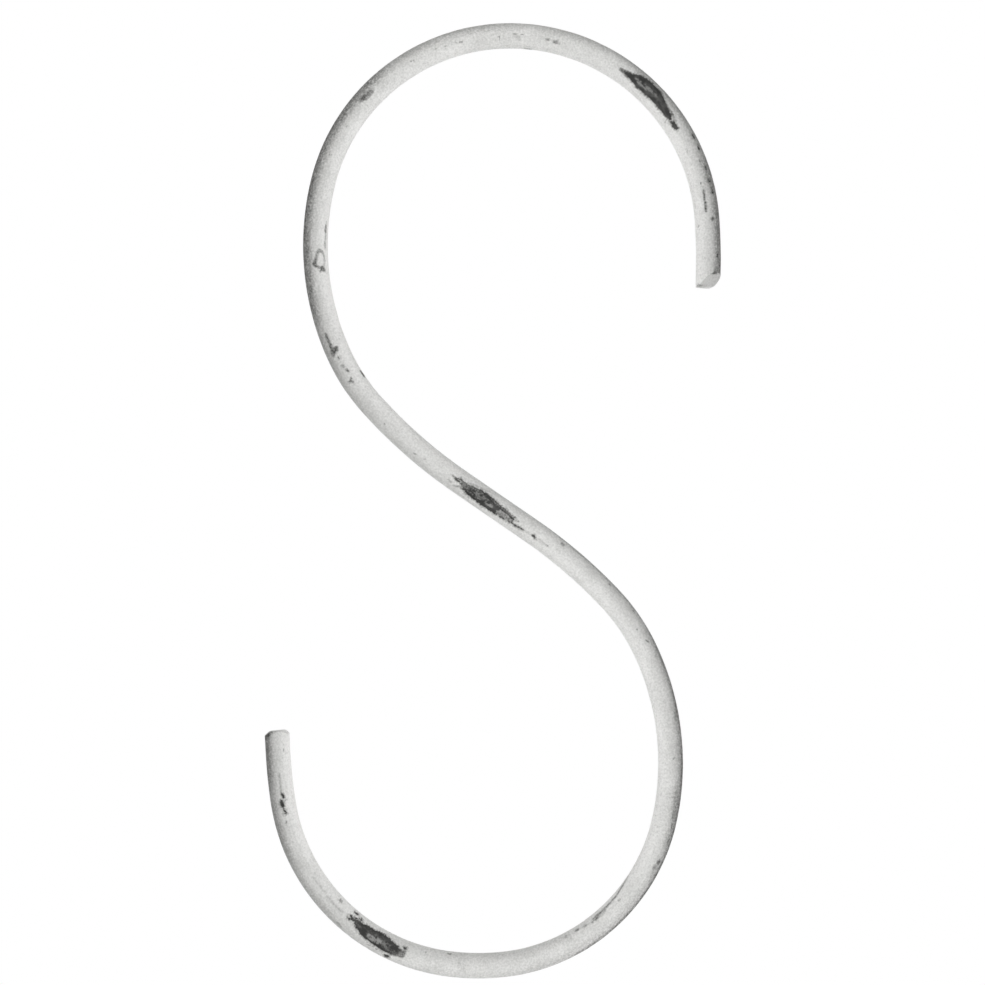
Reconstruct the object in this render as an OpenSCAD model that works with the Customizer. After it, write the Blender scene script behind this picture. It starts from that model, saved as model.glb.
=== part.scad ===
// S hook: one length of round iron bar, bent by hand into two open hooks.
// The upper hook goes over a rail, and what is hung up goes in the lower one.
// The bar lies in the XZ plane with Z up. The origin is the rail seat: the
// highest point of the inside of the upper hook.

/* [Bar] */
// Diameter of the round bar
bar_d = 5; // [3:0.5:8]

/* [Upper hook] */
// Centreline radius of the crown, on the tip's side of the rail seat
crown_front_r = 39.5; // [32:0.5:55]
// Angle bent on the tip's side of the rail seat
crown_front_angle = 86; // [60:0.5:100]
// Centreline radius of the crown, on the shank's side of the rail seat
crown_back_r = 38.5; // [32:0.5:55]
// Angle bent on the shank's side of the rail seat
crown_back_angle = 76.5; // [65:0.5:85]
// Angle of the slacker bend down the back of the upper hook
upper_flank_angle = 37; // [28:0.5:45]
// Angle of the bend that turns the upper hook into the shank
upper_shoulder_angle = 18.5; // [12:0.5:25]
// Angle of the last few degrees before the upper tip
upper_tip_angle = 5; // [1:0.5:15]

/* [Shank] */
// Length of the straight stretch between the two hooks
shank_length = 17; // [5:0.5:40]
// Centreline radius of the slow bends at both ends of the straight
ease_r = 100; // [60:5:150]
// Angle of the slow bend above the straight
upper_ease_angle = 13.5; // [8:0.5:18]
// Angle of the slow bend below the straight
lower_ease_angle = 12; // [8:0.5:18]
// Centreline radius of the two shoulders, where shank and hook meet
shoulder_r = 39.5; // [30:0.5:50]
// Centreline radius of the two slack bends down the hooks' flanks
flank_r = 53; // [42:0.5:70]
// Centreline radius of the last few degrees before both tips
tip_r = 110; // [60:5:150]

/* [Lower hook] */
// Angle of the bend that turns the shank into the lower hook
lower_shoulder_angle = 18; // [12:0.5:25]
// Angle of the slacker bend down the back of the lower hook
lower_flank_angle = 38; // [28:0.5:45]
// Centreline radius of the bowl, on the shank's side
bowl_back_r = 37; // [32:0.5:50]
// Angle bent on the shank's side of the bowl
bowl_back_angle = 73; // [60:0.5:80]
// Centreline radius of the flatter floor of the bowl
bowl_floor_r = 50; // [40:0.5:80]
// Angle of the floor of the bowl
bowl_floor_angle = 9.5; // [4:0.5:15]
// Centreline radius of the bowl, on the tip's side
bowl_front_r = 38.5; // [32:0.5:50]
// Angle bent on the tip's side of the bowl
bowl_front_angle = 76.5; // [55:0.5:85]
// Angle of the last few degrees before the lower tip
lower_tip_angle = 5.5; // [1:0.5:15]

/* [Sheared ends] */
// Straight bar left before the upper cut, measured on the centreline
upper_end_length = 3.1; // [2.5:0.1:12]
// Lean of the upper cut, which leaves the inside of the bend longer
upper_cut_lean_angle = 28; // [0:1:35]
// Turn of the upper cut towards the front of the hook
upper_cut_turn_angle = 30; // [0:1:35]
// How far the upper cut's long lip is left standing, before it is cut off square
upper_lip_length = 1; // [0.5:0.1:3]
// Straight bar left before the lower cut, measured on the centreline
lower_end_length = 3.5; // [2.5:0.1:12]
// Lean of the lower cut, which leaves the inside of the bend longer
lower_cut_lean_angle = 2; // [0:1:35]
// Turn of the lower cut towards the back of the hook
lower_cut_turn_angle = 4; // [0:1:30]
// How far the lower cut runs over the centreline before its outer corner is cut off
lower_corner_start = 1.3; // [0.5:0.1:2]
// Slant of the cut that takes off the lower end's outer corner
lower_corner_angle = 40; // [30:1:60]

/* [Hidden] */

// Facets round the bar, and round a full turn of a bend
bar_facets = 48;
bend_facets = 180;
// Neighbouring lengths of bar lap, and every second one is a hair thinner than
// the bar, so that they join into one solid without sharing a surface.
lap = 0.2;
hair = 0.02;

// The bar runs from the crown's highest point in two ways, to each of its tips.
// A bend is [radius, angle], with a negative radius where it turns to the right.
// A straight is [0, length]. The last one has the waste that the shears take off.
shear_waste = bar_d;
run_to_upper_tip = [
    [-crown_front_r, crown_front_angle],
    [-tip_r, upper_tip_angle],
    [0, upper_end_length + shear_waste]
];
run_to_lower_tip = [
    [crown_back_r, crown_back_angle],
    [flank_r, upper_flank_angle],
    [shoulder_r, upper_shoulder_angle],
    [ease_r, upper_ease_angle],
    [0, shank_length],
    [-ease_r, lower_ease_angle],
    [-shoulder_r, lower_shoulder_angle],
    [-flank_r, lower_flank_angle],
    [-bowl_back_r, bowl_back_angle],
    [-bowl_floor_r, bowl_floor_angle],
    [-bowl_front_r, bowl_front_angle],
    [-tip_r, lower_tip_angle],
    [0, lower_end_length + shear_waste]
];

// A station is [x, z, heading]: a point of the centreline and the way it runs.
front_of_crown = [0, bar_d / 2, 0];
back_of_crown = [0, bar_d / 2, 180];

// The station where one length of bar ends.
function station_after(at, length) =
    let (r = length[0], from = at[2], to = from + sign(r) * length[1])
    r == 0
        ? [at[0] + length[1] * cos(from), at[1] + length[1] * sin(from), from]
        : [at[0] + r * (sin(to) - sin(from)), at[1] + r * (cos(from) - cos(to)), to];

// The stations where the lengths of a run begin.
function stations(at, run, i = 0) =
    i == len(run) - 1 ? [at] : concat([at], stations(station_after(at, run[i]), run, i + 1));

// Places children at a station, with the bar leaving along +X and its left side on +Z.
module at_station(at) {
    translate([at[0], 0, at[1]]) rotate([0, -at[2], 0]) children();
}

// A straight length of bar, which leaves the origin along +X.
module straight(length, d, over) {
    translate([-over, 0, 0])
        rotate([0, 90, 0]) cylinder(h = length + 2 * over, d = d, $fn = bar_facets);
}

// An evenly bent length of bar, which leaves the origin along +X and turns left
// with a positive radius or right with a negative one.
module bend(radius, angle, d, over) {
    side = sign(radius);
    over_angle = over / abs(radius) * 180 / PI;
    translate([0, 0, radius])
        rotate([90, 0, 0])
            rotate_extrude(
                start = side * (-90 - over_angle),
                angle = side * (angle + 2 * over_angle),
                $fn = bend_facets
            )
                translate([abs(radius), 0]) circle(d = d, $fn = bar_facets);
}

// The lengths of one run, end to end. The first or the second one, as thin_from
// says with 0 or 1, and every second one after it are the thinner ones.
module bent_run(first, run, thin_from) {
    starts = stations(first, run);
    for (i = [0 : len(run) - 1]) {
        thinner = i % 2 == thin_from;
        d = thinner ? bar_d - hair : bar_d;
        over = thinner ? lap : 0;
        at_station(starts[i])
            if (run[i][0] == 0) straight(run[i][1], d, over);
            else bend(run[i][0], run[i][1], d, over);
    }
}

// What the shears take off a run's last length. A cut is [distance, lean, turn]:
// all past a plane that crosses the centreline at that distance, that faces the
// outside of the last bend by its lean and the front of the hook by its turn.
module sheared_off(first, run, cuts) {
    last_start = stations(first, run)[len(run) - 1];
    for (cut = cuts)
        at_station(station_after(last_start, [0, cut[0]]))
            rotate([0, -cut[1], -cut[2]])
                translate([0, -bar_d, -bar_d]) cube(2 * bar_d);
}

// Where the plane of the corner's cut crosses the centreline, past the bar's end.
lower_corner_length = lower_end_length + lower_corner_start * tan(lower_corner_angle);

upper_cuts = [
    [upper_end_length, upper_cut_lean_angle, upper_cut_turn_angle],
    [upper_end_length + upper_lip_length, 0, 0]
];
lower_cuts = [
    [lower_end_length, lower_cut_lean_angle, -lower_cut_turn_angle],
    [lower_corner_length, lower_corner_angle, 0]
];

module s_hook() {
    color([0.83, 0.83, 0.81])
    difference() {
        union() {
            bent_run(front_of_crown, run_to_upper_tip, 0);
            bent_run(back_of_crown, run_to_lower_tip, 1);
        }
        sheared_off(front_of_crown, run_to_upper_tip, upper_cuts);
        sheared_off(back_of_crown, run_to_lower_tip, lower_cuts);
    }
}

s_hook();
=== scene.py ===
import math

import bpy
import numpy as np
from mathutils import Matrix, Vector


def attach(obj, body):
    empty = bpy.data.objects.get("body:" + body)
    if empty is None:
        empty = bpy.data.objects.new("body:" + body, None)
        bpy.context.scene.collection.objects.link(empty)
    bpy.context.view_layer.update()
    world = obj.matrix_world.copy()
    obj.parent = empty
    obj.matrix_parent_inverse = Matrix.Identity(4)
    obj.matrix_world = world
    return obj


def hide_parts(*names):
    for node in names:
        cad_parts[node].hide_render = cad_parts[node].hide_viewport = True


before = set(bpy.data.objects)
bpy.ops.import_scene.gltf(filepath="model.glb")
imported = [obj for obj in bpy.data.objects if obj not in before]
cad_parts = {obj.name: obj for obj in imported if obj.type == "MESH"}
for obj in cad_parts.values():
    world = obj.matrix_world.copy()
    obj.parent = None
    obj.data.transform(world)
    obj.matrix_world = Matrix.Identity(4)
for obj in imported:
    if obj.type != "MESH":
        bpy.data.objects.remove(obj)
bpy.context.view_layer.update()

# ---------------------------------------------------------------------------
# The hook
# One length of 5 mm round iron rod, sheared off and bent by hand round formers
# into two open hooks. A thick off-white paint is brushed on, and years of use
# have rubbed it down to the iron in patches. Its outer flanks are painted grey,
# partly as rubbed paint and partly as painted shade, and the insides of the bends
# are painted lighter, as painted light.
# ---------------------------------------------------------------------------
mm = 0.001

# The straight bar lies along X with its front up, before it is bent.
bar_radius = 2.5 * mm
facets_round_bar = 64
widest_ring_gap = 0.27 * mm         # about as wide as a facet
end_length = 4 * mm                 # each end is one long ring until its faces are cut
shear_waste = 5 * mm
rings_reach = 1.4 * end_length      # past the furthest point of its faces
rim_segments = 4
weld_distance = 0.001 * mm

# Each stretch of the finished hook, from the upper tip to the lower one: the
# radius of a bend and the degrees it turns to the left, or a straight and 0.
stretches = [
    (3.1 * mm, 0), (110 * mm, 5),                                       # upper tip
    (39.5 * mm, 86), (38.5 * mm, 76.5),                                 # crown
    (53 * mm, 37), (39.5 * mm, 18.5), (100 * mm, 13.5),                 # flank and shoulder
    (17 * mm, 0),                                                       # shank
    (100 * mm, -12), (39.5 * mm, -18), (53 * mm, -38),                  # shoulder and flank
    (37 * mm, -73), (50 * mm, -9.5), (38.5 * mm, -76.5),                # bowl
    (110 * mm, -5.5), (3.5 * mm, 0),                                    # lower tip
]
stretches_to_crown_top = 3
lengths = [size * math.radians(abs(turn)) if turn else size for size, turn in stretches]
bar_length = sum(lengths)
middle_length = bar_length - 2 * end_length
ring_count = math.ceil(middle_length / widest_ring_gap)
ring_gap = middle_length / ring_count

# Each end: where it is, which way is out, and its flat faces: how far out each one
# crosses the middle line, how it looks (along the bar, to the left, to the front),
# and how far the paint rounds its rim. The upper end has one slanting face, with its
# long lip cut off square. The lower one is nearly square, with both corners eased.
sheared_ends = [
    (0, -1, [
        (0.85 * mm, Vector((-1, 0, 0)), 0),
        (0.25 * mm, Vector((-0.765, -0.469, 0.441)), 0.18 * mm),
        (0.5 * mm, Vector((-0.925, -0.322, 0.201)), 0),
    ]),
    (bar_length, 1, [
        (1.4 * mm, Vector((0.766, 0.643, 0)), 0),
        (0.18 * mm, Vector((0.997, 0.035, -0.070)), 0.24 * mm),
        (0.92 * mm, Vector((0.866, -0.5, 0)), 0),
        (0.56 * mm, Vector((0.94, 0.34, 0)), 0),
    ]),
]

bpy.ops.object.select_all(action="DESELECT")
bpy.ops.mesh.primitive_circle_add(
    vertices=facets_round_bar, radius=bar_radius, fill_type="NOTHING",
    location=(end_length, 0, 0), rotation=(0, math.radians(90), 0))
bar = bpy.context.object
bar.name = bar.data.name = "bent_bar"
bpy.ops.object.transform_apply(location=True, rotation=True, scale=True)
bpy.ops.object.mode_set(mode="EDIT")
bpy.ops.mesh.select_all(action="SELECT")
bpy.ops.mesh.extrude_region_move(TRANSFORM_OT_translate={"value": (ring_gap, 0, 0)})
bpy.ops.object.mode_set(mode="OBJECT")
rings = bar.modifiers.new("rings", "ARRAY")
rings.count = ring_count
rings.use_relative_offset = False
rings.use_constant_offset = True
rings.constant_offset_displace = (ring_gap, 0, 0)
rings.use_merge_vertices = True
rings.merge_threshold = ring_gap / 20
bpy.ops.object.modifier_apply(modifier=rings.name)


def select_ring(obj, x):
    """Selects the ring of edges at x, and nothing else, and leaves obj in edit mode."""
    bpy.ops.object.mode_set(mode="EDIT")
    bpy.ops.mesh.select_mode(type="EDGE")
    bpy.ops.mesh.select_all(action="DESELECT")
    bpy.ops.object.mode_set(mode="OBJECT")
    points = obj.data.vertices
    for edge in obj.data.edges:
        edge.select = all(abs(points[end].co.x - x) < ring_gap / 4 for end in edge.vertices)
    bpy.ops.object.mode_set(mode="EDIT")


# Each end is drawn out past its faces, cut back to them, and ringed like the rest.
for end_x, outwards, faces in sheared_ends:
    select_ring(bar, end_x - outwards * end_length)
    bpy.ops.mesh.extrude_region_move(
        TRANSFORM_OT_translate={"value": (outwards * (end_length + shear_waste), 0, 0)})
    for further_out, face_normal, rim_rounding in faces:
        bpy.ops.mesh.select_all(action="SELECT")
        bpy.ops.mesh.bisect(
            plane_co=(end_x + outwards * further_out, 0, 0), plane_no=face_normal,
            use_fill=True, clear_outer=True, threshold=weld_distance)
        if rim_rounding:
            bpy.ops.mesh.bevel(offset=rim_rounding, segments=rim_segments, affect="EDGES")
    for step in range(1, math.ceil(rings_reach / ring_gap)):
        bpy.ops.mesh.select_all(action="SELECT")
        ring_x = end_x - outwards * (end_length - step * ring_gap)
        bpy.ops.mesh.bisect(plane_co=(ring_x, 0, 0), plane_no=(1, 0, 0), threshold=weld_distance)
    bpy.ops.object.mode_set(mode="OBJECT")

bpy.ops.object.mode_set(mode="EDIT")
bpy.ops.mesh.select_all(action="SELECT")
bpy.ops.mesh.remove_doubles(threshold=weld_distance)
bpy.ops.mesh.normals_make_consistent(inside=False)
bpy.ops.object.mode_set(mode="OBJECT")

# The place of every point on the straight bar stays with it when the bar is bent.
straight = np.empty(len(bar.data.vertices) * 3)
bar.data.vertices.foreach_get("co", straight)
bar.data.attributes.new("straight_bar", "FLOAT_VECTOR", "POINT").data.foreach_set("vector", straight)

# The bends lie flat in one plane, and the inside of the crown's top is the origin.
steps_per_bend = 64
sharp_edge_angle = math.radians(40)


def step_along(place, heading, size, turn, part=1.0):
    """Where the middle line is after this part of a stretch, and where it heads there."""
    half_turn = part * math.radians(turn) / 2
    chord = 2 * size * np.sin(abs(half_turn)) if turn else size * part
    way = np.array([np.cos(heading + half_turn), np.sin(heading + half_turn)])
    return place + chord * way, heading + 2 * half_turn


turn_to_crown_top = math.radians(sum(turn for _, turn in stretches[:stretches_to_crown_top]))
joins = [(np.zeros(2), math.pi - turn_to_crown_top)]
for size, turn in stretches:
    joins.append(step_along(*joins[-1], size, turn))
to_rail = np.array([0, bar_radius]) - joins[stretches_to_crown_top][0]
joins = [(place + to_rail, heading) for place, heading in joins]

bpy.ops.curve.primitive_bezier_curve_add(align="WORLD", location=(0, 0, 0))
former = bpy.context.object
former.data.dimensions = "2D"
former.data.resolution_u = steps_per_bend
bends = former.data.splines[0].bezier_points
bends.add(len(joins) - 2)
for point, (place, heading) in zip(bends, joins):
    point.handle_left_type = point.handle_right_type = "FREE"
    point.co = (*place, 0)
    point.handle_left = point.co - mm * Vector((math.cos(heading), math.sin(heading), 0))
    point.handle_right = point.co + mm * Vector((math.cos(heading), math.sin(heading), 0))
for before, after, (size, turn) in zip(bends, bends[1:], stretches):
    # A handle this long makes a bend follow its arc.
    handle = size * 4 / 3 * math.tan(math.radians(abs(turn)) / 4) if turn else size / 3
    before.handle_right = before.co + handle / mm * (before.handle_right - before.co)
    after.handle_left = after.co + handle / mm * (after.handle_left - after.co)

bpy.ops.object.select_all(action="DESELECT")
bar.select_set(True)
bpy.context.view_layer.objects.active = bar
bend = bar.modifiers.new("bend", "CURVE")
bend.object = former
bend.deform_axis = "POS_X"
bpy.ops.object.modifier_apply(modifier=bend.name)
bpy.data.objects.remove(former)
bar.rotation_euler = (math.radians(90), 0, 0)
bpy.ops.object.transform_apply(location=True, rotation=True, scale=True)
bpy.ops.object.shade_smooth_by_angle(angle=sharp_edge_angle)

# The wear of the paint, with painted light and shade. Where the hook has rubbed on
# rails and handles, the paint is thin, chipped or gone. The outer flanks are painted
# grey, partly as rubbed paint and partly as painted shade, and the insides of the
# bends lighter, as painted light. Marks are given as someone sees them who looks at
# the middle of the hook from 36 cm in front: millimetres along the bar from just
# inside the upper tip, and millimetres to the right of its middle line.
looked_at_from = (-3.5, -360, -88.8)                                    # mm
counted_from = 0.6                                                      # mm in from the tip

# Outlines of the long patches that are worn to the iron.
worn_patches = [
    # right of the upper hook
    [(31.2, -0.2), (31.7, -0.5), (32.3, -0.65), (33.1, -0.52), (33.6, -0.33), (34.6, -0.5), (35.4, -0.72),
     (37.0, -0.7), (38.3, -0.65), (39.4, -0.7), (40.5, -0.8), (41.9, -0.9), (43.0, -0.9), (43.9, -0.75),
     (45.0, -0.62), (45.9, -0.4), (46.6, -0.1), (46.9, 0.2), (46.4, 0.5), (46.0, 0.7), (45.0, 1.05),
     (44.1, 1.45), (42.8, 1.8), (41.0, 1.95), (39.4, 1.9), (38.3, 1.7), (37.4, 1.45), (36.7, 1.1),
     (36.0, 0.8), (35.0, 0.68), (34.3, 0.5), (33.8, 0.28), (33.3, 0.2), (32.8, 0.3), (32.1, 0.35),
     (31.4, 0.2)],
    # shank
    [(194.4, -0.4), (195.4, -0.72), (196.6, -0.92), (197.8, -1.1), (199.0, -1.22), (200.2, -1.12),
     (201.4, -1.0), (202.6, -0.8), (203.8, -0.72), (205.0, -0.52), (206.3, -0.15), (206.6, 0.35),
     (206.2, 0.4), (205.4, 0.12), (204.2, 0.05), (203.0, 0.15), (202.5, 0.5), (202.6, 1.0), (202.6, 1.5),
     (201.1, 1.45), (200.0, 1.45), (198.6, 1.5), (197.4, 1.45), (196.3, 1.45), (195.3, 1.25), (194.5, 0.85),
     (194.2, 0.4), (194.1, 0.0)],
    # left of the lower hook
    [(345.9, -0.1), (346.2, -0.4), (345.9, -0.7), (346.7, -1.15), (347.6, -1.35), (348.6, -1.45),
     (350.0, -1.42), (351.3, -1.32), (352.9, -1.2), (354.2, -1.05), (354.9, -0.8), (355.9, -0.42),
     (356.8, 0.0), (356.9, 0.4), (357.1, 0.8), (356.6, 1.05), (355.8, 1.2), (354.4, 1.35), (352.9, 1.5),
     (351.3, 1.65), (350.0, 1.6), (348.9, 1.35), (347.6, 1.05), (346.7, 0.75), (346.0, 0.3)],
]
# Chips and scratches down to the iron: from, to, and the width at each of the two.
chips = [
    # upper tip
    (4.8, 1.8, 5.3, 1.85, 0.35, 0.3), (17.2, 1.85, 17.9, 1.9, 0.35, 0.3), (19.4, 1.7, 19.7, 1.7, 0.3, 0.3),
    (22.0, 1.8, 22.4, 1.85, 0.35, 0.3), (26.0, 1.9, 26.6, 1.95, 0.3, 0.3),
    (28.3, 2.0, 28.9, 2.0, 0.3, 0.25),
    # right of the upper hook
    (46.4, 0.08, 47.7, 0.1, 0.5, 0.35),
    # shank
    (191.4, -0.15, 192.4, -0.05, 0.1, 0.3), (192.4, -0.05, 193.6, 0.1, 0.3, 0.25),
    (193.0, -0.6, 193.3, -0.55, 0.25, 0.2), (193.3, -0.5, 194.8, -0.3, 0.2, 0.5),
    (193.6, 0.1, 194.8, 0.2, 0.3, 0.5), (202.4, 1.3, 204.4, 1.2, 0.4, 0.25),
    (204.4, 1.2, 206.4, 0.95, 0.25, 0.2), (206.3, 0.35, 206.5, 0.9, 0.2, 0.25),
    (206.4, 0.95, 208.6, 0.8, 0.25, 0.25), (208.2, 0.85, 209.0, 0.75, 0.3, 0.25),
    (211.6, 0.6, 212.0, 0.7, 0.45, 0.4),
    # left of the lower hook
    (345.1, 0.75, 345.5, 0.9, 0.55, 0.45), (347.9, -2.05, 348.1, -2.1, 0.9, 0.9),
    (356.0, 1.55, 356.4, 1.6, 0.35, 0.3), (356.9, 1.05, 357.3, 1.1, 0.4, 0.3),
    (357.2, 0.45, 357.7, 0.55, 0.45, 0.45), (357.4, 1.95, 358.0, 1.85, 0.45, 0.35),
    (357.9, 0.75, 358.2, 0.8, 0.5, 0.4), (357.9, 0.15, 358.1, 0.2, 0.3, 0.25),
    (361.8, 1.6, 362.1, 1.65, 0.35, 0.25),
    # lower tip
    (383.3, 0.0, 383.8, 0.0, 0.5, 0.45), (383.8, 0.0, 384.8, -0.2, 0.15, 0.25),
    (384.7, -0.15, 385.7, -0.25, 0.65, 0.65), (385.3, -0.5, 385.5, -0.5, 0.3, 0.3),
    (385.7, -0.1, 386.4, 0.0, 0.3, 0.3), (386.5, 0.15, 387.0, 0.05, 0.55, 0.5),
]
# Places inside the patches that later rubbing has polished: as the chips, and how
# bright each one is.
polished_places = [
    # right of the upper hook
    (39.2, 0.7, 44.4, 0.45, 0.7, 0.7, 0.6), (41.6, 0.15, 43.8, 0.1, 0.6, 0.5, 0.7),
    # shank
    (194.4, 0.0, 197.0, 0.1, 1.2, 2.0, 0.55), (197.0, -0.3, 200.4, -0.3, 1.4, 0.9, 0.42),
    (197.6, 0.75, 198.5, 0.7, 0.3, 0.25, 0.9), (200.0, 0.4, 201.2, 0.5, 0.9, 0.8, 0.8),
    (200.4, -0.65, 205.6, -0.3, 0.6, 0.5, 0.65),
    # left of the lower hook
    (346.6, -0.4, 349.6, -0.2, 1.6, 1.5, 0.42), (350.4, 0.95, 353.6, 0.9, 0.5, 0.5, 0.36),
    (350.6, -0.22, 352.8, -0.3, 1.35, 1.2, 0.84), (355.4, 0.3, 356.4, 0.45, 0.2, 0.2, 0.5),
]
# Scratches and scuffs with soft edges, and one soft band of painted rim shade at the lower tip:
# as the chips, and how dark each one is.
scratches_and_rim_shade = [
    # upper tip
    (-1.45, -2.46, -1.2, -2.38, 0.6, 0.5, 0.6), (1.4, 1.35, 2.3, 1.6, 0.7, 0.6, 0.55),
    (12.1, 1.05, 12.4, 1.1, 0.45, 0.4, 1.0), (13.8, -0.1, 15.6, 0.05, 0.35, 0.4, 1.0),
    (16.1, -0.05, 17.9, 0.15, 0.35, 0.3, 0.95),
    # right of the upper hook
    (33.0, 0.6, 35.6, 0.85, 0.35, 0.5, 0.5), (45.8, 0.05, 48.0, 0.1, 1.2, 0.5, 1.0),
    # crown
    (61.2, -0.35, 61.9, -0.3, 0.25, 0.3, 0.4), (61.9, -0.3, 62.5, -0.1, 0.35, 0.45, 0.85),
    (62.1, -0.1, 61.8, 0.2, 0.3, 0.2, 0.7), (63.6, 0.0, 64.0, 0.0, 0.35, 0.3, 0.8),
    (67.1, -2.45, 68.1, -2.4, 0.6, 0.6, 0.72), (69.6, -0.4, 70.4, 0.0, 1.0, 0.8, 0.24),
    # left of the upper hook
    (101.8, 0.5, 103.6, 0.6, 0.9, 1.2, 0.75), (103.4, 0.7, 104.4, 0.8, 0.9, 0.7, 0.95),
    (130.4, -2.05, 135.8, -1.95, 0.15, 0.25, 0.6), (131.2, -1.95, 132.4, -1.93, 0.3, 0.45, 0.9),
    (134.6, -1.93, 135.8, -1.93, 0.35, 0.3, 0.72), (136.3, -0.8, 136.9, -0.3, 0.5, 0.45, 0.8),
    (136.5, -1.25, 136.3, -0.8, 0.5, 0.55, 0.75), (136.9, -0.3, 138.1, 0.0, 0.4, 0.35, 0.7),
    (137.2, -1.6, 136.5, -1.25, 0.3, 0.35, 0.55), (138.1, 0.05, 138.9, 0.3, 0.5, 0.8, 1.0),
    (138.3, -1.75, 137.2, -1.6, 0.25, 0.25, 0.6), (138.9, 0.35, 139.4, 0.1, 0.7, 0.55, 1.0),
    (139.4, 0.0, 139.7, -0.5, 0.45, 0.4, 0.85), (139.4, -1.55, 138.3, -1.75, 0.4, 0.3, 0.5),
    (139.7, -0.5, 139.9, -1.1, 0.35, 0.55, 0.75), (140.0, -1.2, 140.5, -1.6, 0.9, 0.5, 0.95),
    (140.3, -1.1, 140.6, -0.7, 0.45, 0.25, 0.8), (153.0, 0.9, 154.0, 1.0, 0.3, 0.6, 1.0),
    (154.0, 1.0, 155.2, 0.8, 0.5, 0.35, 0.9), (155.2, 0.8, 156.2, 0.95, 0.45, 0.5, 1.0),
    (156.2, 0.95, 157.4, 1.1, 0.5, 0.65, 1.0), (156.2, 0.2, 156.1, 0.45, 0.4, 0.35, 0.8),
    (156.3, -0.15, 156.6, 0.2, 0.55, 0.9, 1.0), (156.8, 0.3, 157.3, 0.9, 0.45, 0.4, 1.0),
    (158.3, 0.35, 158.6, 0.4, 0.25, 0.25, 0.6), (160.0, 0.35, 160.3, 0.25, 0.35, 0.35, 0.7),
    (161.2, 0.0, 161.6, -0.1, 0.4, 0.35, 0.95), (163.1, 0.15, 163.6, 0.6, 0.3, 0.35, 0.84),
    (163.1, -2.3, 164.1, -2.3, 0.65, 0.65, 1.0), (163.5, 0.6, 163.6, 1.0, 0.3, 0.2, 0.72),
    (164.0, 0.15, 163.5, 0.6, 0.3, 0.35, 0.84),
    # shank
    (191.2, 0.95, 191.9, 1.1, 0.2, 0.3, 0.5), (192.7, 1.3, 193.2, 1.1, 0.35, 0.3, 0.5),
    (193.2, 1.1, 194.6, 0.5, 0.3, 0.5, 0.6), (194.8, -0.9, 199.0, -1.65, 0.3, 0.3, 0.35),
    (202.4, 0.7, 206.0, 0.65, 1.1, 0.9, 0.84), (209.0, 0.75, 211.6, 0.6, 0.25, 0.25, 0.36),
    (212.6, 0.6, 215.0, 0.5, 0.2, 0.3, 0.42),
    # shoulder of the lower hook
    (217.0, -1.65, 217.4, -1.6, 0.55, 0.5, 0.65),
    # right of the lower hook
    (257.4, -1.95, 258.8, -1.8, 0.7, 0.5, 0.42), (272.2, -1.5, 272.5, 0.0, 0.2, 0.2, 0.14),
    (273.0, -1.6, 273.4, 0.3, 0.25, 0.2, 0.24), (273.9, -1.7, 274.3, 0.2, 0.25, 0.2, 0.2),
    (276.2, -1.75, 278.0, -1.6, 0.6, 0.6, 0.3), (286.8, -1.65, 287.1, -1.6, 0.6, 0.6, 0.9),
    (288.0, -1.35, 288.5, -1.3, 0.6, 0.5, 0.6), (292.4, 2.36, 294.2, 2.2, 0.2, 0.3, 0.66),
    (294.2, 2.2, 295.0, 2.12, 0.3, 0.4, 0.78), (295.0, 2.12, 297.4, 1.85, 0.35, 0.3, 0.78),
    (297.4, 1.85, 300.0, 1.75, 0.3, 0.35, 0.78), (300.0, 1.75, 302.4, 1.72, 0.35, 0.4, 0.84),
    (301.0, 1.4, 303.0, 1.3, 0.4, 0.4, 0.42), (302.4, 1.72, 304.2, 1.7, 0.5, 0.3, 0.84),
    (303.2, 1.3, 303.5, 1.3, 0.4, 0.3, 0.72), (304.5, 1.6, 313.0, 1.7, 0.7, 0.5, 0.1),
    (306.1, 1.5, 306.6, 1.55, 0.4, 0.35, 0.72), (308.1, 1.7, 308.5, 1.7, 0.5, 0.4, 0.78),
    (310.9, 1.7, 311.1, 1.7, 0.4, 0.35, 0.66),
    # bowl
    (332.6, -1.2, 333.2, 0.3, 0.3, 0.3, 0.2), (333.4, -0.9, 333.9, 0.5, 0.3, 0.3, 0.24),
    (334.2, -0.6, 334.5, 0.2, 0.25, 0.25, 0.1),
    # left of the lower hook
    (345.5, -0.4, 348.0, -0.35, 1.5, 2.3, 0.95), (347.6, -1.8, 347.7, -1.4, 0.5, 0.5, 0.35),
    (358.3, -2.1, 359.4, -1.85, 0.4, 0.3, 0.45), (360.0, 0.25, 364.4, 0.2, 0.35, 0.3, 0.36),
    (365.4, 0.3, 369.2, 0.3, 0.25, 0.25, 0.25),
    # lower tip
    (387.5, -0.1, 391.2, -0.1, 0.35, 0.25, 0.42), (398.5, -2.3, 399.1, -1.9, 0.7, 0.6, 0.75),
    # The last one here is no scratch but painted shade just below the lower tip's rim.
    (399.0, -1.8, 399.6, -1.25, 0.6, 0.5, 0.95), (399.6, -0.9, 399.9, 0.6, 0.3, 0.2, 0.25),
]
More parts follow.
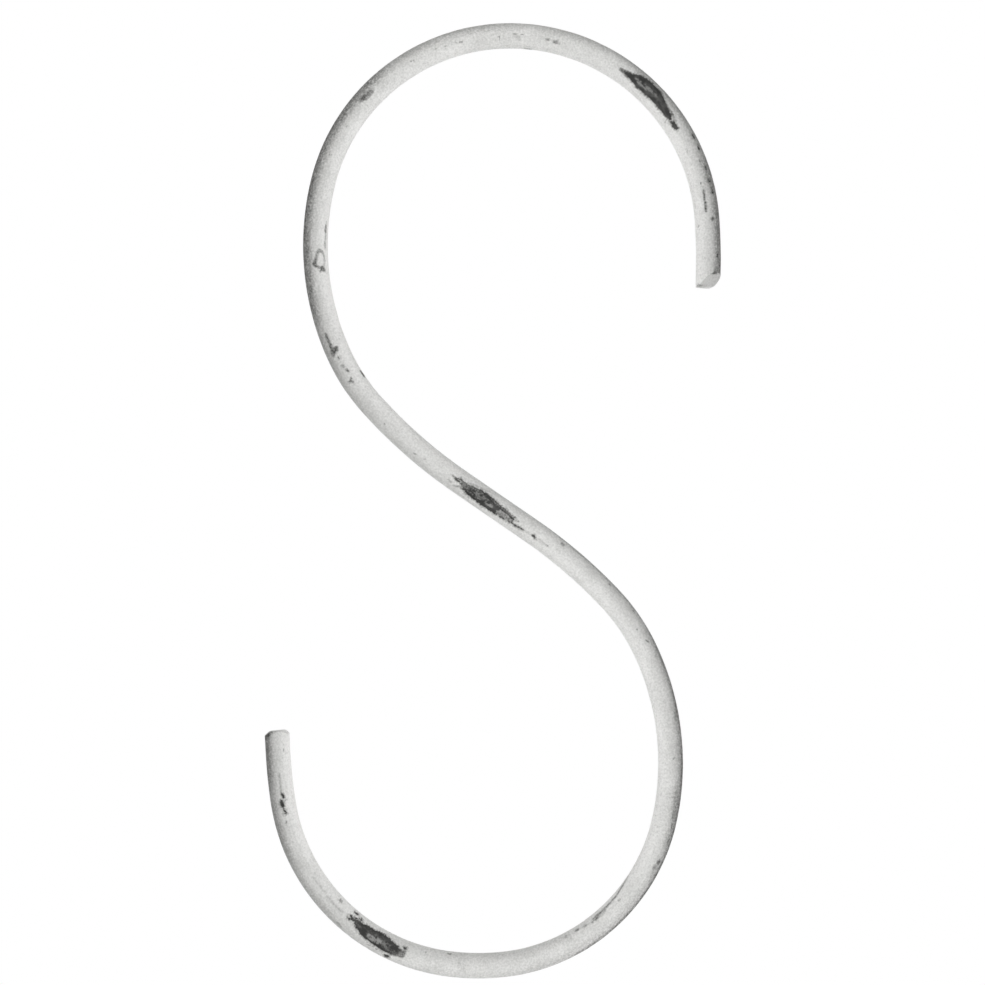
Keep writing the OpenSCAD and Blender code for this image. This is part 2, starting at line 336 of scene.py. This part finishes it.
# Smudges where the paint is only thin, and one painted shadow line: as the chips.
smudges = [
    # upper tip
    # The first smudge, a grey line just inside the upper tip's cut rim, is a painted shadow line.
    (1.3, 0.5, 1.4, 1.8, 0.2, 0.4), (10.3, -2.0, 11.1, -1.7, 0.25, 0.4), (19.3, -0.05, 19.8, 0.0, 0.4, 0.3),
    (23.6, 1.1, 24.1, 1.1, 0.35, 0.3), (26.3, -0.5, 26.9, -0.2, 0.2, 0.25),
    # right of the upper hook
    (33.9, -1.4, 34.2, -0.9, 0.3, 0.4), (34.2, 0.8, 36.4, 1.0, 0.6, 0.5),
    # crown
    (54.4, -2.4, 55.6, -2.4, 0.15, 0.15), (56.2, -2.35, 57.4, -2.3, 0.15, 0.15),
    (68.7, 0.3, 69.2, 0.4, 0.3, 0.3), (70.2, 0.4, 71.0, 0.5, 0.25, 0.2),
    (73.5, -0.6, 73.6, 0.0, 0.35, 0.35), (81.1, 0.05, 81.6, 0.1, 0.5, 0.4),
    (82.2, 0.2, 82.4, 0.25, 0.3, 0.3), (83.1, 0.15, 83.3, 0.15, 0.3, 0.3),
    (84.4, 0.05, 84.8, 0.1, 0.35, 0.3), (86.2, 0.35, 86.6, 0.4, 0.35, 0.3),
    (91.4, 0.3, 91.9, 0.35, 0.5, 0.45),
    # left of the upper hook
    (110.2, -0.1, 110.4, 0.0, 0.3, 0.3), (116.8, 0.1, 116.9, 0.5, 0.35, 0.35),
    (157.9, 0.3, 158.8, 0.4, 0.3, 0.25), (174.2, 0.8, 174.5, 0.85, 0.35, 0.35),
    (182.5, 1.1, 182.9, 1.1, 0.4, 0.35), (184.8, 0.6, 185.1, 0.6, 0.4, 0.35),
    # shank
    (206.3, -0.4, 207.4, 0.0, 0.6, 0.4), (215.0, 0.5, 215.3, 0.5, 0.4, 0.35),
    # shoulder of the lower hook
    (216.6, -0.2, 217.0, -0.1, 0.3, 0.25), (229.2, -1.9, 229.7, -1.8, 0.5, 0.35),
    (236.1, -2.0, 236.6, -2.0, 0.4, 0.35), (239.4, -0.5, 239.9, -0.45, 0.4, 0.3),
    (242.1, -1.0, 242.8, -1.25, 0.25, 0.5), (245.6, -1.65, 246.0, -1.6, 0.35, 0.3),
    # right of the lower hook
    (266.3, -0.7, 266.5, -0.5, 0.4, 0.35), (279.2, -1.7, 280.0, -1.7, 0.5, 0.5),
    (282.3, -1.9, 283.1, -1.8, 0.6, 0.4), (297.4, 0.85, 297.8, 0.8, 0.4, 0.35),
    (298.3, 0.75, 298.6, 0.75, 0.4, 0.35), (303.4, 1.3, 304.9, 1.2, 0.35, 0.25),
    # bowl
    (335.8, 1.95, 336.3, 1.95, 0.55, 0.45), (340.7, 1.0, 341.0, 1.4, 0.35, 0.3),
    # left of the lower hook
    (344.8, 0.2, 345.2, 0.2, 0.35, 0.35), (350.2, -1.65, 350.5, -1.65, 0.4, 0.35),
    (351.1, -1.65, 351.4, -1.65, 0.4, 0.35), (352.0, -1.75, 352.3, -1.75, 0.4, 0.35),
    (358.5, 0.2, 358.9, 0.5, 0.6, 0.4),
    # lower tip
    (381.2, -0.25, 381.7, -0.2, 0.3, 0.25), (385.7, 0.3, 386.0, 0.85, 0.4, 0.25),
    (395.8, 1.15, 396.3, 1.15, 0.35, 0.25), (396.8, 1.15, 397.1, 1.15, 0.25, 0.2),
]

# The same on the back, in millimetres round from the back line.
patches_behind = [
    [(111.0, 0.2), (112.4, -0.5), (114.2, -0.8), (116.0, -0.5), (118.4, -0.75), (120.6, -0.3), (121.8, 0.3),
     (120.4, 0.9), (118.6, 0.8), (117.0, 1.2), (114.8, 1.0), (113.0, 1.1), (111.8, 0.6)],
    [(262.0, -0.4), (263.2, -0.9), (265.0, -0.7), (267.2, -1.1), (269.4, -0.6), (270.2, 0.1), (268.8, 0.7),
     (266.8, 0.5), (265.0, 0.9), (263.0, 0.4)],
]
chips_behind = [
    (22.0, 0.6, 23.4, 0.9, 0.5, 0.3), (47.0, -1.2, 47.6, -1.0, 0.6, 0.4), (66.0, 2.1, 73.0, 2.3, 0.5, 0.8),
    (74.6, 1.8, 76.0, 2.0, 0.4, 0.3), (109.2, 0.1, 110.6, 0.2, 0.2, 0.4),
    (122.6, 0.5, 124.8, 0.6, 0.3, 0.2), (152.0, -1.4, 155.4, -1.1, 0.2, 0.4),
    (156.2, -1.0, 156.6, -1.0, 0.5, 0.4), (188.0, 0.6, 190.4, 0.2, 0.5, 0.3),
    (191.6, 0.1, 192.0, 0.2, 0.4, 0.4), (221.0, 1.2, 221.5, 1.3, 0.5, 0.4),
    (271.4, 0.1, 273.8, 0.3, 0.3, 0.2), (305.0, 0.4, 305.6, 0.5, 0.5, 0.4),
    (319.0, -2.2, 325.4, -2.0, 0.8, 0.5), (327.0, -1.8, 328.2, -1.9, 0.4, 0.3),
    (361.0, 0.7, 361.5, 0.8, 0.5, 0.4), (378.0, -0.9, 379.6, -0.6, 0.3, 0.5),
]
smudges_behind = [
    (12.0, 0.2, 14.6, 0.5, 0.6, 0.4), (58.0, 2.2, 84.0, 2.2, 1.6, 1.8), (96.0, -0.6, 97.2, -0.4, 0.9, 0.6),
    (136.0, 0.8, 136.6, 0.9, 0.5, 0.4), (176.0, -0.4, 179.0, -0.2, 0.6, 0.8),
    (206.4, 0.9, 207.0, 1.0, 0.5, 0.5), (240.0, -0.8, 241.4, -0.6, 0.7, 0.5),
    (289.0, 0.3, 291.2, 0.1, 0.4, 0.5), (310.0, -2.1, 336.0, -2.1, 1.6, 1.6),
    (345.6, 1.0, 346.2, 1.1, 0.5, 0.4), (388.0, 0.4, 390.0, 0.6, 0.5, 0.4),
]
# Long stretches of the outer flank that are painted grey, partly as rubbed paint and
# partly as painted shade where the flank turns from the light: from, to, the side (1 is
# to the right, -1 to the left), how strong the grey is, paint gone and shade together,
# and how far round from the flank that reaches, in mm.
rubbed_and_shaded_flanks = [
    (-5, 17, 1, 0.6, 3.4), (17, 25, 1, 0.65, 3.7), (25, 48, 1, 0.35, 3.2), (48, 66, 1, 0.12, 3.9),
    (71, 96, 1, 0.25, 3.6), (97, 151, 1, 0.75, 3.9), (151, 160, 1, 0.3, 3.2), (214, 240, -1, 0.5, 1.7),
    (240, 262, -1, 0.8, 2.0), (262, 312, -1, 0.95, 2.0), (238, 258, -1, 0.15, 3.2),
    (258, 270, -1, 0.3, 3.2), (271, 284, -1, 0.62, 3.6), (284, 292, -1, 0.35, 3.2),
    (292, 322, -1, 0.22, 3.8), (322, 345, -1, 0.1, 3.8), (358, 374, -1, 0.2, 3.8), (374, 388, -1, 0.4, 3.5),
    (388, 405, -1, 0.62, 3.5),
]
flank_fade = 4                      # mm, before and after each stretch's ends
# How much lighter the inside of the bends is painted, as painted light, at this
# many mm along the bar. It is least at the crown and the bowl.
painted_light_along = [
    (0, 0.45), (30, 0.4), (48, 0.22), (72, 0.3), (96, 0.37), (120, 0.45), (144, 0.6), (168, 0.45),
    (192, 0.2), (216, 0.2), (240, 0.3), (288, 0.35), (305, 0.2), (312, 0.03), (336, 0.1), (352, 0.2),
    (360, 0.42), (384, 0.5),
]
# How much lighter the end faces are painted, as painted light.
painted_light_on_end_faces = 0.45

# How the marks fade at their edges, in mm, from this far outside to this deep inside.
smudge_edge = (-0.2, 0.15)
polish_edge = (-0.2, 0.2)
scratch_edge = (-0.22, 0.08)
smudge_strength = 0.9
far_outside = -0.6                  # the least depth that is told apart, and the greatest
deep_inside = 1.2


def round_from_front(across):
    """The way round the bar, in mm, to a place that lies this far across it."""
    return np.arcsin(np.clip(across * mm / bar_radius, -1, 1)) * bar_radius / mm


def inside_stroke(along, around, stroke):
    """How deep each place lies inside a mark from one point to another, below zero outside it."""
    x0, y0, x1, y1, width0, width1 = stroke
    y0, y1 = round_from_front(y0), round_from_front(y1)
    dx, dy = x1 - x0, y1 - y0
    part = np.clip(((along - x0) * dx + (around - y0) * dy) / (dx * dx + dy * dy), 0, 1)
    half_width = (width0 + (width1 - width0) * part) / 2
    return half_width - np.hypot(along - x0 - part * dx, around - y0 - part * dy)


def inside_outline(along, around, outline):
    """How deep each place lies inside a closed outline, below zero outside it."""
    corners = [(x, round_from_front(y)) for x, y in outline]
    nearest = np.full(len(along), np.inf)
    inside = np.zeros(len(along), bool)
    for (x0, y0), (x1, y1) in zip(corners, corners[1:] + corners[:1]):
        dx, dy = x1 - x0, y1 - y0
        part = np.clip(((along - x0) * dx + (around - y0) * dy) / (dx * dx + dy * dy), 0, 1)
        nearest = np.minimum(nearest, np.hypot(along - x0 - part * dx, around - y0 - part * dy))
        crossed = (y0 > around) != (y1 > around)
        inside ^= crossed & (along < x0 + (around - y0) * dx / (dy if dy else 1))
    return np.where(inside, nearest, -nearest)


def soft_step(value, low, high):
    """0 below low, 1 above high, and a smooth rise between."""
    part = np.clip((value - low) / (high - low), 0, 1)
    return part * part * (3 - 2 * part)


def wrap_round(around):
    """The same places round the bar, in mm, counted from minus half way round to half way."""
    half_way = math.pi * bar_radius / mm
    return (around + half_way) % (2 * half_way) - half_way


# Where each point of the bar lies on it, and where it is seen to lie from the front.
along, to_left, to_front = straight.reshape(-1, 3).T / mm
around = np.arctan2(-to_left, to_front) * bar_radius / mm
middle = np.zeros((2, len(along)))
heading = np.zeros(len(along))
start = 0
for (size, turn), length, (place, angle) in zip(stretches, lengths, joins):
    part = np.clip((along * mm - start) / length, 0, 1)
    places, headings = step_along(place.reshape(2, 1), angle, size, turn, part)
    reached = along * mm >= start
    middle = np.where(reached, places, middle)
    heading = np.where(reached, headings, heading)
    start += length
eye_x, eye_y, eye_z = looked_at_from
eye_aside, eye_above = eye_x - middle[0] / mm, eye_z - middle[1] / mm
eye_ahead = eye_aside * np.cos(heading) + eye_above * np.sin(heading)
eye_to_right = eye_aside * np.sin(heading) - eye_above * np.cos(heading)
along -= counted_from
seen_along = along - to_front * eye_ahead / -eye_y
seen_around = wrap_round(around - np.arctan(eye_to_right / -eye_y) * bar_radius / mm)
behind_around = wrap_round(around - math.pi * bar_radius / mm)

worn_through = np.full(len(along), far_outside)
polished = np.zeros(len(along))
thinned_or_shaded = np.zeros(len(along))
scratched_or_rim_shade = np.zeros(len(along))
for seen, outlines, strokes, thin_or_shade_strokes in (
    ((seen_along, seen_around), worn_patches, chips, smudges),
    ((along, behind_around), patches_behind, chips_behind, smudges_behind),
):
    for outline in outlines:
        worn_through = np.maximum(worn_through, inside_outline(*seen, outline))
    for stroke in strokes:
        worn_through = np.maximum(worn_through, inside_stroke(*seen, stroke))
    for stroke in thin_or_shade_strokes:
        thinned_or_shaded_here = smudge_strength * soft_step(inside_stroke(*seen, stroke), *smudge_edge)
        thinned_or_shaded = np.maximum(thinned_or_shaded, thinned_or_shaded_here)
for *stroke, brightness in polished_places:
    depth = inside_stroke(seen_along, seen_around, stroke)
    polished = np.maximum(polished, brightness * soft_step(depth, *polish_edge))
for *stroke, darkness in scratches_and_rim_shade:
    depth = inside_stroke(seen_along, seen_around, stroke)
    scratched_or_rim_shade = np.maximum(scratched_or_rim_shade, darkness * soft_step(depth, *scratch_edge))
worn_through = np.minimum(worn_through, deep_inside)

# The outer flanks are painted darker grey here: partly rubbed paint, partly painted shade where they turn
# from the light.
worn_and_shaded_flanks = np.zeros(len(along))
for start, stop, side, strength, reach in rubbed_and_shaded_flanks:
    begun = soft_step(seen_along, start - flank_fade, start + flank_fade)
    over = soft_step(seen_along, stop - flank_fade, stop + flank_fade)
    from_flank = np.abs(wrap_round(seen_around - side * bar_radius / mm * math.pi / 2))
    nearness = 1 - soft_step(from_flank, reach / 2, reach)
    worn_and_shaded_flanks = np.maximum(worn_and_shaded_flanks, strength * (begun * (1 - over)) * nearness)

# The flat faces of the ends get none of the flanks' grey, neither worn nor painted shade.
end_face = np.zeros(len(along), bool)
face_tolerance = 0.02 * mm
for end_x, outwards, faces in sheared_ends:
    for further_out, face_normal, _ in faces:
        from_middle = straight.reshape(-1, 3) - (end_x + outwards * further_out, 0, 0)
        end_face |= from_middle @ face_normal > -face_tolerance
worn_and_shaded_flanks[end_face] = 0

# The insides of the two bends are the left of the bar down to its middle, and
# the right from there on. They and the end faces are painted lighter, as painted light.
side_changes = (185, 215)           # mm along the bar
painted_light_full_at = 0.6                # of the way from the front line to the side
side_inside = 2 * soft_step(along, *side_changes) - 1
towards_inside = np.clip(side_inside * np.sin(seen_around * mm / bar_radius) / painted_light_full_at, 0, 1)
painted_light_inside = towards_inside * np.interp(along, *zip(*painted_light_along))
painted_light_inside[end_face] = painted_light_on_end_faces

for name, values in (
    ("worn_through", worn_through), ("polished", polished), ("thinned_or_shaded", thinned_or_shaded), ("worn_and_shaded_flanks", worn_and_shaded_flanks),
    ("scratched_or_rim_shade", scratched_or_rim_shade), ("painted_light_inside", painted_light_inside),
):
    bar.data.attributes.new(name, "FLOAT", "POINT").data.foreach_set("value", values)

# The coat is brushed on unevenly, and a bare place lies lower by its thickness.
coat_thickness = 0.1 * mm
coat_waves = 0.05 * mm
wave_size = 4 * mm
bare_edge = (-0.12, 0.12)           # mm, from outside a bare place to inside it
lumps = bpy.data.textures.new("lumps", "CLOUDS")
lumps.noise_scale = wave_size
coat = bar.modifiers.new("coat", "DISPLACE")
coat.texture = lumps
coat.strength = coat_waves
coat.mid_level = 1.25               # so that it stays within the bar's own size
bpy.ops.object.modifier_apply(modifier=coat.name)
bare = bar.vertex_groups.new(name="bare")
depth = soft_step(worn_through, *bare_edge)
for index in np.nonzero(depth > 0)[0]:
    bare.add([int(index)], float(depth[index]), "REPLACE")
sink = bar.modifiers.new("sink", "DISPLACE")
sink.vertex_group = bare.name
sink.mid_level = 0
sink.strength = -coat_thickness
bpy.ops.object.modifier_apply(modifier=sink.name)

# The paint is chalky. The iron is nearly black, and the places that are rubbed on
# again are a lighter grey.
# The whiter tone shows in the paint's clouds, and also stands for painted light on the insides of the
# bends.
paint_white = (0.86, 0.858, 0.842)
paint_dull = (0.60, 0.60, 0.584)
paint_grey = (0.45, 0.45, 0.436)
# This grey is both rubbed paint and the painted shade of the outer flanks.
worn_and_shade_grey = (0.17, 0.17, 0.162)
# Also the grey of the painted rim shade at the lower tip.
scratch_and_shade_grey = (0.1, 0.1, 0.095)
iron_black = (0.025, 0.025, 0.024)
iron_grey = (0.10, 0.10, 0.096)
iron_polished = (0.26, 0.26, 0.252)
grit_size = 0.4 * mm
flake_size = 0.9 * mm
blotch_size = 3.2 * mm
brush_mark_size = 1.8 * mm
brushed_area_size = 9 * mm
grit_height = 0.05 * mm
paint_roughness, iron_roughness = 0.9, 0.6
paint_metallic, iron_metallic = 0.0, 0.35
shine = 0.2
# How deep inside a mark, in mm, the paint gets thin, then gives way to the iron,
# and how deep the black rim of a bare patch turns into its greyer middle.
paint_to_thin_rim = (-0.5, 0.0)
paint_to_iron = (-0.13, 0.15)
rim_to_middle = (0.4, 1.1)
ragged_by = 0.7                     # how much flakes, and grit too, change that depth

finish = bpy.data.materials.new("worn_white_paint")
finish.use_nodes = True
tree = finish.node_tree
shader = tree.nodes["Principled BSDF"]


def feed(socket, value):
    """Gives a node's input a plain value, or links another node's output to it."""
    if isinstance(value, bpy.types.NodeSocket):
        tree.links.new(value, socket)
    else:
        socket.default_value = value


def finish_node(kind, settings=None, **inputs):
    """Adds a node to the finish. Its inputs are named, with _ for a space, or numbered, as in _0."""
    made = tree.nodes.new(kind)
    for name, value in (settings or {}).items():
        setattr(made, name, value)
    for name, value in inputs.items():
        numbered = name[1:].isdigit()
        feed(made.inputs[int(name[1:]) if numbered else name.replace("_", " ")], value)
    return made


def grain(size, detail, stretch=1, seed=0.0):
    """Noise with features this big, stretched along the bar, as it was before it was bent."""
    place = finish_node("ShaderNodeMapping", Vector=straight_place,
                        Location=(seed, seed / 3, 0), Scale=(1 / stretch, 1, 1))
    made = finish_node("ShaderNodeTexNoise", Vector=place.outputs[0],
                       Scale=1 / size, Detail=detail, Roughness=0.55)
    return made.outputs["Fac"]


def combined(operation, a, b):
    """Two values put together by a math node's operation."""
    return finish_node("ShaderNodeMath", {"operation": operation}, _0=a, _1=b).outputs[0]


def swing(value, reach):
    """Noise turned into a value that goes this far above and below zero."""
    return combined("MULTIPLY", combined("SUBTRACT", value, 0.5), reach)


def fade(value, low, high, to_low=0.0, to_high=1.0):
    """A smooth rise from to_low to to_high, while the value goes from low to high."""
    return finish_node("ShaderNodeMapRange", {"interpolation_type": "SMOOTHSTEP"}, Value=value,
                       From_Min=low, From_Max=high, To_Min=to_low, To_Max=to_high).outputs[0]


def layered(share, under, over):
    """One colour laid over another in this share."""
    made = finish_node("ShaderNodeMix", {"data_type": "RGBA"}, Factor=share)
    for socket, colour in ((made.inputs[6], under), (made.inputs[7], over)):
        feed(socket, (*colour, 1) if isinstance(colour, tuple) else colour)
    return made.outputs[2]


def wear(name):
    """The bar's own record of one kind of wear, or of painted light or shade."""
    return finish_node("ShaderNodeAttribute", {"attribute_name": name}).outputs["Fac"]


straight_place = finish_node("ShaderNodeAttribute", {"attribute_name": "straight_bar"}).outputs["Vector"]
grit = grain(grit_size, 2, seed=0.3)
flakes = grain(flake_size, 3, stretch=1.4, seed=0.1)
blotches = grain(blotch_size, 3, stretch=1.6, seed=0.2)
brushing = grain(brush_mark_size, 2, stretch=0.16, seed=0.4)
brushed_here = fade(grain(brushed_area_size, 1, seed=0.5), 0.45, 0.65)

# The iron shows where the wear is deep, with an edge that breaks along flakes and grit.
edge = wear("worn_through")
edge = combined("ADD", edge, combined("ADD", swing(flakes, ragged_by), swing(grit, ragged_by)))
iron_shows = fade(edge, *paint_to_iron)
thin_rim = fade(edge, *paint_to_thin_rim, 0, 0.5)

# Clean paint is a little cloudy and gritty, and painted lighter on the insides of the bends,
# as painted light. Thin paint shows grey, in grains, and so do the outer flanks, partly rubbed
# and partly painted shade.
cloudy = combined("ADD", swing(blotches, 0.9), swing(grit, 1.8))
cloudy = combined("ADD", cloudy, combined("MULTIPLY", brushed_here, swing(brushing, 0.6)))
# Less of the dull tone, and more white, where the insides of the bends and the end faces are painted light.
dull_share = combined("SUBTRACT", 0.71, wear("painted_light_inside"))
clean = layered(combined("ADD", dull_share, cloudy), paint_white, paint_dull)
uneven = combined("ADD", swing(grit, 1.4), swing(flakes, 0.8))
# The outer flanks' grey: rubbed paint and painted shade together.
flank_darkening = wear("worn_and_shaded_flanks")
flank_darkening_shows = combined("MULTIPLY", flank_darkening, combined("ADD", 0.75, combined("MULTIPLY", uneven, 1.6)))
flank_darkened_paint = layered(flank_darkening_shows, clean, worn_and_shade_grey)
# Thin paint, and the painted shadow line by the upper tip's rim.
thin_or_shaded = wear("thinned_or_shaded")
grey_grains = fade(combined("ADD", thin_or_shaded, uneven), 0.35, 1.1, 0, 0.8)
worn_and_shaded_coat = layered(combined("MULTIPLY", thin_or_shaded, 0.3), flank_darkened_paint, paint_grey)
worn_and_shaded_coat = layered(grey_grains, worn_and_shaded_coat, worn_and_shade_grey)
# Scratches, and the painted rim shade at the lower tip.
scratch_or_shade_shows = combined("MULTIPLY", wear("scratched_or_rim_shade"), combined("ADD", 0.88, swing(grit, 1.4)))
worn_and_shaded_coat = layered(scratch_or_shade_shows, worn_and_shaded_coat, scratch_and_shade_grey)
coat_colour = layered(thin_rim, worn_and_shaded_coat, worn_and_shade_grey)

# The middle of a bare patch is rubbed greyer than its rim, in flecks.
middle_of_patch = fade(wear("worn_through"), *rim_to_middle, 0, 0.45)
flecks = fade(combined("ADD", flakes, swing(grit, 0.3)), 0.4, 0.62)
iron = layered(fade(flakes, 0.4, 0.7, 0, 0.45), iron_black, iron_grey)
iron = layered(combined("MULTIPLY", middle_of_patch, flecks), iron, iron_grey)
bright = wear("polished")
patchy = combined("ADD", swing(grit, 1.6), swing(flakes, 1.6))
patchy = combined("ADD", patchy, combined("MULTIPLY", bright, 0.6))
iron = layered(combined("MULTIPLY", bright, fade(patchy, 0.05, 0.65)), iron, iron_polished)
colour = layered(iron_shows, coat_colour, iron)
feed(shader.inputs["Base Color"], colour)
feed(shader.inputs["Roughness"], fade(iron_shows, 0, 1, paint_roughness, iron_roughness))
feed(shader.inputs["Metallic"], fade(iron_shows, 0, 1, paint_metallic, iron_metallic))
feed(shader.inputs["Specular IOR Level"], shine)

relief = combined("ADD", combined("MULTIPLY", grit, 0.4), flakes)
rough = finish_node("ShaderNodeBump", Strength=0.25, Distance=grit_height, Height=relief)
feed(shader.inputs["Normal"], rough.outputs["Normal"])
bar.data.materials.clear()
bar.data.materials.append(finish)

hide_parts("s_hook")
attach(bar, "root")

# ---------------------------------------------------------------------------
# The studio
# The room and the floor look white to the camera and in reflections, but light
# the hook no more than a dim room does. Soft panels stand all round it.
# ---------------------------------------------------------------------------
def white_where_seen(tree, dim, whiteness):
    """Mixes a white glow over a dim shader where the camera or a reflection sees it."""
    path = tree.nodes.new("ShaderNodeLightPath")
    seen = path.outputs["Is Camera Ray"]
    for ray in ("Is Glossy Ray", "Is Transmission Ray"):
        either = tree.nodes.new("ShaderNodeMath")
        either.operation = "MAXIMUM"
        tree.links.new(seen, either.inputs[0])
        tree.links.new(path.outputs[ray], either.inputs[1])
        seen = either.outputs[0]
    share = tree.nodes.new("ShaderNodeMath")
    share.operation = "MULTIPLY"
    share.inputs[1].default_value = whiteness
    tree.links.new(seen, share.inputs[0])
    glow = tree.nodes.new("ShaderNodeEmission")
    glow.inputs["Color"].default_value = (1, 1, 1, 1)
    mixed = tree.nodes.new("ShaderNodeMixShader")
    tree.links.new(share.outputs[0], mixed.inputs["Fac"])
    tree.links.new(dim.outputs[0], mixed.inputs[1])
    tree.links.new(glow.outputs[0], mixed.inputs[2])
    return mixed.outputs[0]


floor_radius = 0.4
floor_height = -0.30
floor_whiteness = 0.8               # the rest is paper that takes the hook's shadow
paper_white = (0.8, 0.8, 0.8, 1)
bpy.ops.mesh.primitive_circle_add(
    vertices=96, radius=floor_radius, fill_type="NGON", location=(0, 0, floor_height))
floor = bpy.context.object
floor.name = "floor"
paper = bpy.data.materials.new("floor_paper")
paper.use_nodes = True
paper_shader = paper.node_tree.nodes["Principled BSDF"]
paper_shader.inputs["Base Color"].default_value = paper_white
paper_shader.inputs["Roughness"].default_value = 0.9
paper.node_tree.links.new(white_where_seen(paper.node_tree, paper_shader, floor_whiteness),
                          paper.node_tree.nodes["Material Output"].inputs["Surface"])
floor.data.materials.append(paper)

room_grey = (0.09, 0.09, 0.09, 1)
world = bpy.data.worlds.new("studio")
bpy.context.scene.world = world
world.use_nodes = True
room = world.node_tree.nodes["Background"]
room.inputs["Color"].default_value = room_grey
world.node_tree.links.new(white_where_seen(world.node_tree, room, 1),
                          world.node_tree.nodes["World Output"].inputs["Surface"])

# Each panel: its place, how many degrees it is tipped up from facing down and then
# turned round from facing back, its width and height, and its power in watts.
hook_middle_z = -0.089
for name, place, tip, swung, width, height, power in (
    ("front_strip", (0, -0.09, hook_middle_z), 90, 0, 0.08, 0.5, 0.264),
    ("panel_behind", (0, 0.03, hook_middle_z), 90, 180, 0.14, 0.3, 0.08),
    ("panel_below", (0, 0, -0.29), 180, 0, 0.5, 0.5, 0.2),
    ("rear_left_softbox", (-0.55, 0.46, hook_middle_z), 90, -130, 0.35, 0.35, 1.3),
    ("rear_right_softbox", (0.55, 0.46, hook_middle_z), 90, 130, 0.35, 0.35, 1.3),
):
    lamp = bpy.data.lights.new(name, "AREA")
    lamp.shape = "RECTANGLE"
    lamp.size, lamp.size_y = width, height
    lamp.energy = power
    lamp_object = bpy.data.objects.new(name, lamp)
    lamp_object.location = place
    lamp_object.rotation_euler = (math.radians(tip), 0, math.radians(swung))
    lamp_object.visible_camera = False
    bpy.context.scene.collection.objects.link(lamp_object)

lens = bpy.data.cameras.new("camera")
lens.sensor_width = 36
lens.lens = 65.8
camera = bpy.data.objects.new("camera", lens)
camera.location = [mm * distance for distance in looked_at_from]
camera.rotation_euler = (math.radians(90), 0, 0)
bpy.context.scene.collection.objects.link(camera)
bpy.context.scene.camera = camera
bpy.context.scene.view_settings.view_transform = "Standard"
